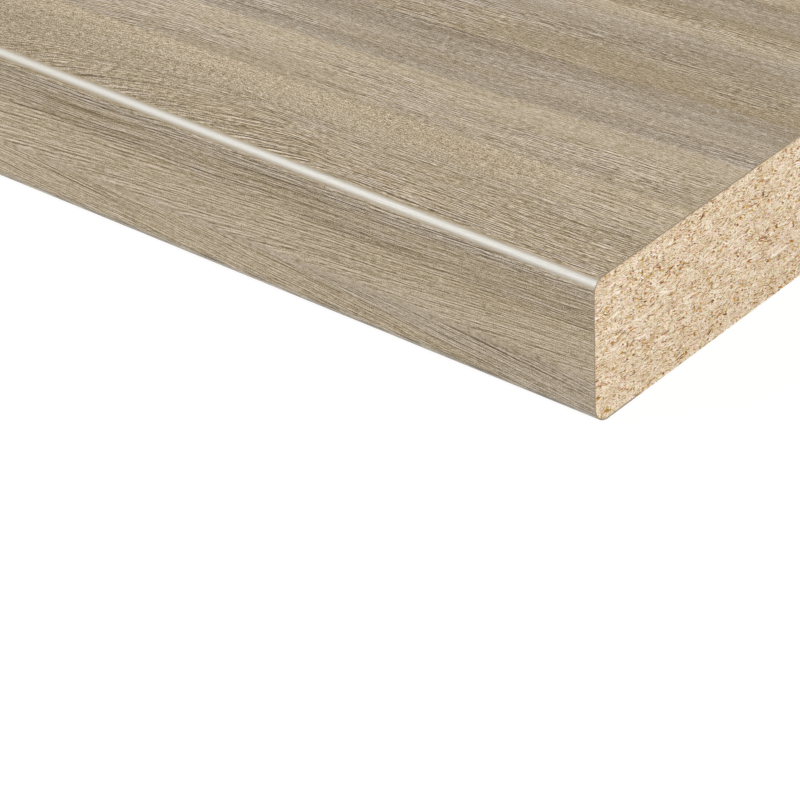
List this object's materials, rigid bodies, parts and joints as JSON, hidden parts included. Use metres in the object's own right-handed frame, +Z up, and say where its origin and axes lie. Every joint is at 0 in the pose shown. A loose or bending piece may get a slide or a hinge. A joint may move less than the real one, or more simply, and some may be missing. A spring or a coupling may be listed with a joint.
{
  "type": "kitchen worktop",
  "caption": "Flat kitchen worktop: a chipboard core with a wood-decor laminate wrapped over the top, round the softened front edge and under it, with square sawn ends.",
  "frame": {"origin": "middle of the flat underside, which rests on the base cabinets", "axes": "+X along the length, +Y from the front edge to the back edge, +Z up through the thickness"},
  "size_m": [2, 0.6, 0.038],
  "materials": {
    "chipboard": "matte",
    "wood_decor_laminate": "satin"
  },
  "bodies": {
    "root": {"chipboard_core": "chipboard", "decor_laminate": "wood_decor_laminate"}
  },
  "joints": []
}
